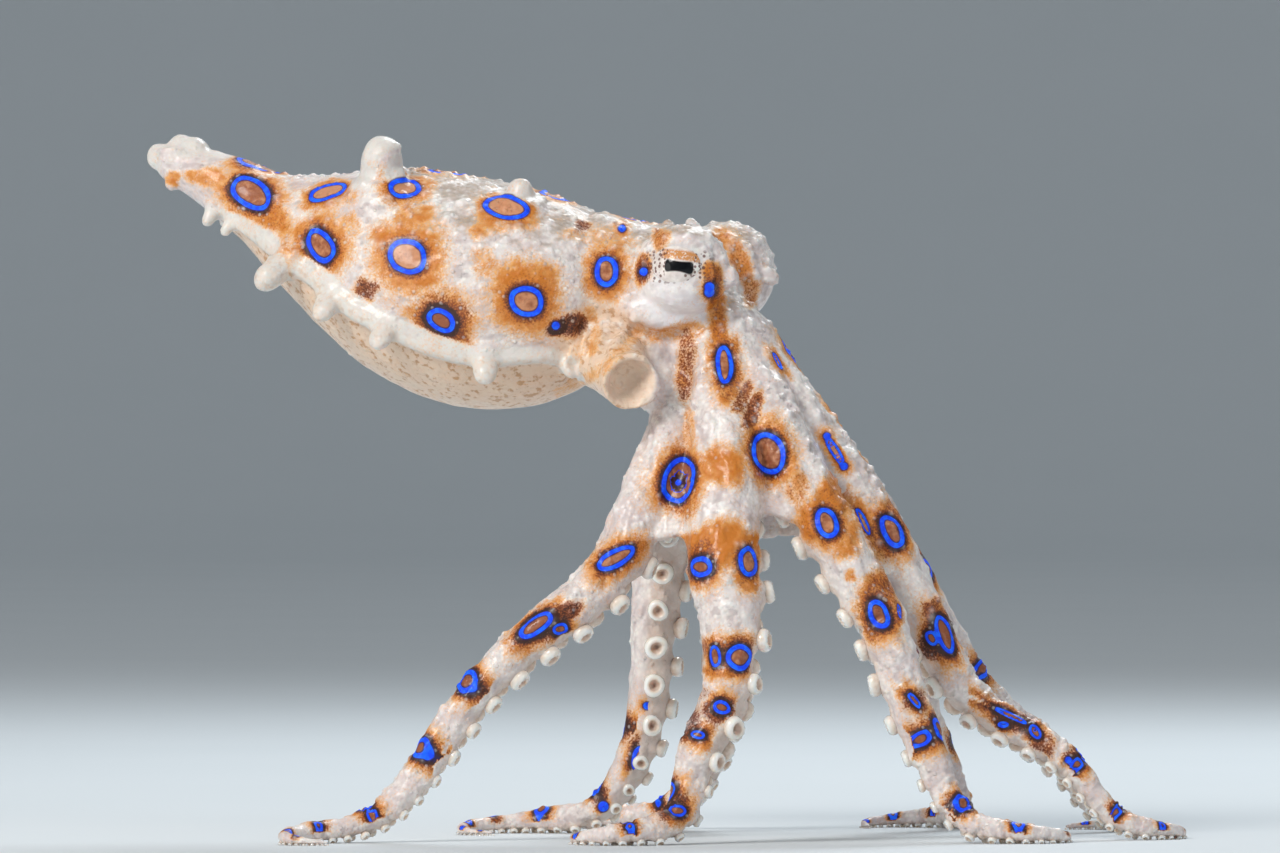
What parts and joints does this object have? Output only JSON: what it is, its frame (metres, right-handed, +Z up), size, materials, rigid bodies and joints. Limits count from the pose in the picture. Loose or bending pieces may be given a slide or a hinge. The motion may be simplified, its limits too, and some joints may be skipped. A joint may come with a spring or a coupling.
{
  "type": "blue ringed octopus model",
  "caption": "Life-size still model of a small octopus standing on its arms, with its pointed mantle held out behind the head.",
  "frame": {"origin": "on the floor, under the middle of the whole animal's box", "axes": "+X from the mantle's tip towards the front arms, +Z up; the animal's right side faces -Y"},
  "size_m": [0.0834, 0.0468, 0.0564],
  "materials": {
    "skin": "moist satin skin, cream white with ochre patches and blue rings",
    "belly": "moist satin skin, peach",
    "eye": "wet gloss, white iris with brown dots and a black bar pupil"
  },
  "bodies": {
    "root": {"mantle": "skin", "head": "skin", "crown": "skin", "funnel": "belly", "eye_right": "eye", "eye_left": "eye", "arm_right_4_root": "skin", "arm_right_3_root": "skin", "arm_right_2_root": "skin", "arm_right_1_root": "skin", "arm_left_1_root": "skin", "arm_left_2_root": "skin", "arm_left_3_root": "skin", "arm_left_4_root": "skin", "arm_right_4_base": "skin", "arm_right_4_middle": "skin", "arm_right_4_tip": "skin", "arm_right_3_base": "skin", "arm_right_3_middle": "skin", "arm_right_3_tip": "skin", "arm_right_2_base": "skin", "arm_right_2_middle": "skin", "arm_right_2_tip": "skin", "arm_right_1_base": "skin", "arm_right_1_middle": "skin", "arm_right_1_tip": "skin", "arm_left_1_base": "skin", "arm_left_1_middle": "skin", "arm_left_1_tip": "skin", "arm_left_2_base": "skin", "arm_left_2_middle": "skin", "arm_left_2_tip": "skin", "arm_left_3_base": "skin", "arm_left_3_middle": "skin", "arm_left_3_tip": "skin", "arm_left_4_base": "skin", "arm_left_4_middle": "skin", "arm_left_4_tip": "skin"}
  },
  "joints": []
}
